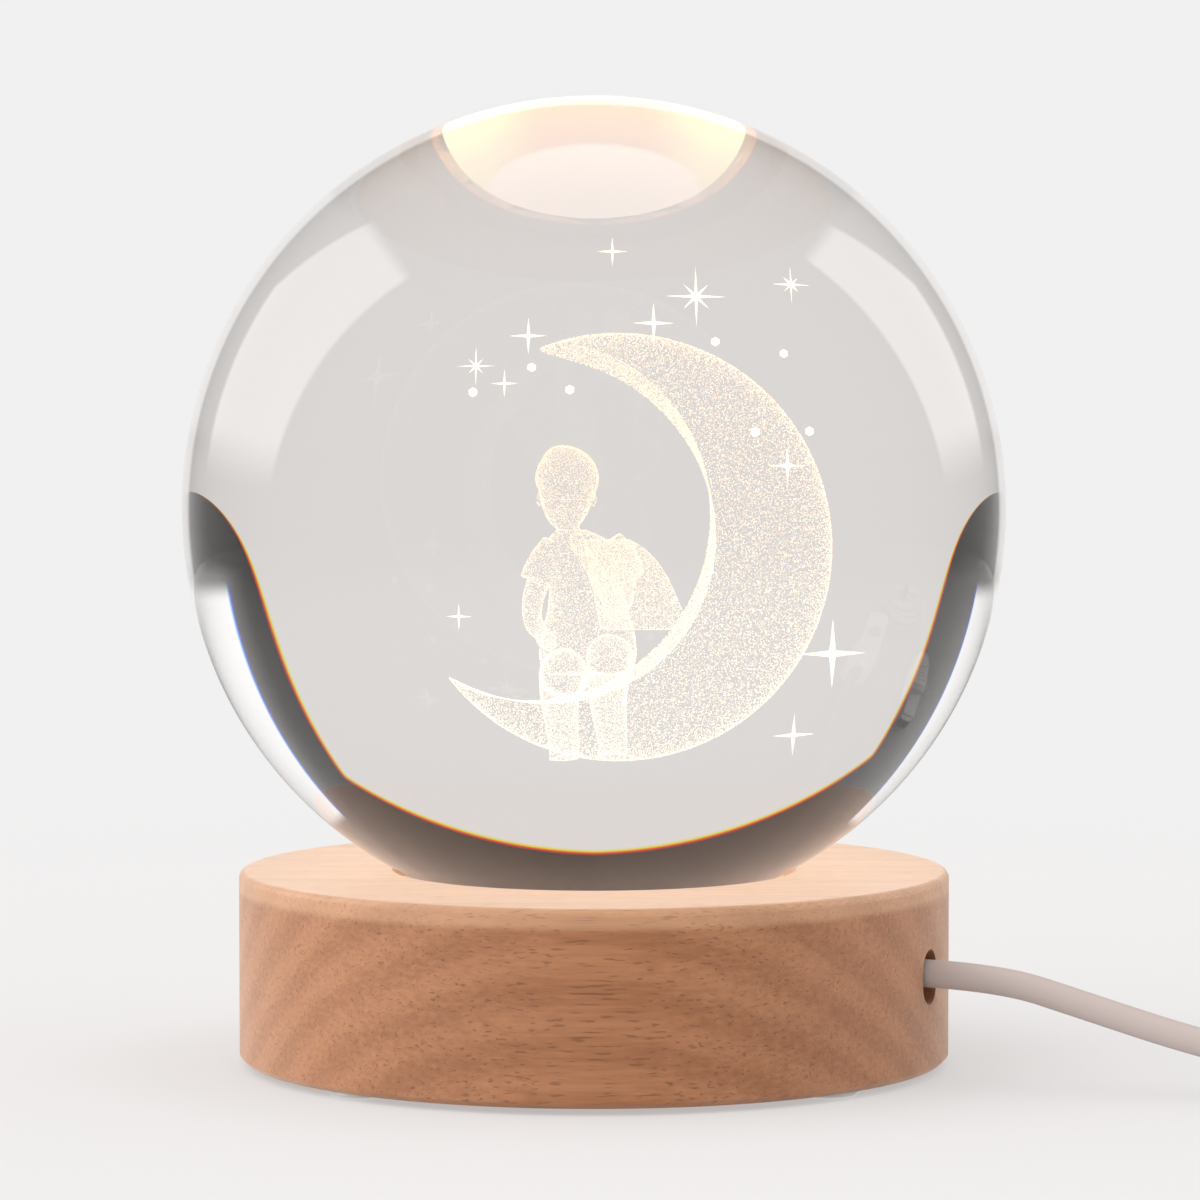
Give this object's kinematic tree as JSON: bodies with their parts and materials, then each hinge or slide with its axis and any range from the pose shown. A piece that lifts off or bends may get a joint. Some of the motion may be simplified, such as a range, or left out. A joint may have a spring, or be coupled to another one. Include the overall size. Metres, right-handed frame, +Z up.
{
  "type": "moon lamp",
  "caption": "Clear glass ball with an engraved crescent moon and figure on a round beech light base, with a white lead, switch and plug.",
  "frame": {"origin": "middle of the base at the height of the table, on the undersides of the foot pads", "axes": "+Z up along the axis of the base and ball, -Y towards the front of the engraving, +X to its right"},
  "size_m": [0.2129, 0.08, 0.0939],
  "materials": {
    "clear_glass": "polished clear",
    "engraved_glass": "frosted points inside the glass",
    "pale_beech": "oiled satin",
    "frosted_diffuser": "frosted, lit warm white",
    "white_board": "solder mask",
    "led_body": "matt",
    "led_phosphor": "lit",
    "resistor_black": "matt",
    "screw_steel": "zinc plated",
    "solder": "bright",
    "red_wire": "soft",
    "black_wire": "soft",
    "white_lead": "soft satin",
    "white_plastic": "fine satin",
    "grey_button": "satin",
    "black_rubber": "matt",
    "clear_foam": "matt",
    "black_tie": "matt",
    "plug_steel": "bright",
    "gold_contact": "bright"
  },
  "bodies": {
    "base": {"wooden_base": "pale_beech", "foot_pads": "clear_foam", "bottom_cover": "black_rubber", "cover_screws": "screw_steel", "diffuser_disc": "frosted_diffuser", "led_board": "white_board", "led_chips": "led_body", "led_windows": "led_phosphor", "board_resistors": "resistor_black", "board_screws": "screw_steel", "positive_wire": "red_wire", "negative_wire": "black_wire", "solder_joints": "solder", "cable_clamp": "white_plastic", "clamp_screws": "screw_steel", "lead_inside": "white_lead", "lead_to_switch": "white_lead", "switch_case_top": "white_plastic", "switch_case_bottom": "white_plastic", "switch_latch": "black_tie", "switch_wires": "red_wire", "switch_screws": "screw_steel", "switch_boots": "white_plastic", "lead_to_coil": "white_lead", "lead_coil": "white_lead", "coil_tie": "black_tie", "lead_to_plug": "white_lead", "plug_boot": "white_plastic", "plug_grip": "white_plastic", "plug_shell": "plug_steel", "plug_tongue": "white_plastic", "plug_contacts": "gold_contact"},
    "ball": {"crystal_ball": "clear_glass", "engraved_moon": "engraved_glass", "engraved_figure": "engraved_glass", "engraved_cape": "engraved_glass", "engraved_stars": "engraved_glass"},
    "button": {"switch_button": "grey_button"}
  },
  "joints": [
    {"name": "ball_lift", "type": "slide", "parent": "base", "child": "ball", "axis": [0, 0, 1], "range_m": [0, 0.05]},
    {"name": "switch_press", "type": "slide", "parent": "base", "child": "button", "axis": [0, 0, -1], "range_m": [0, 0.0012], "stiffness_N_per_m": 300, "springref_m": -0.001}
  ]
}
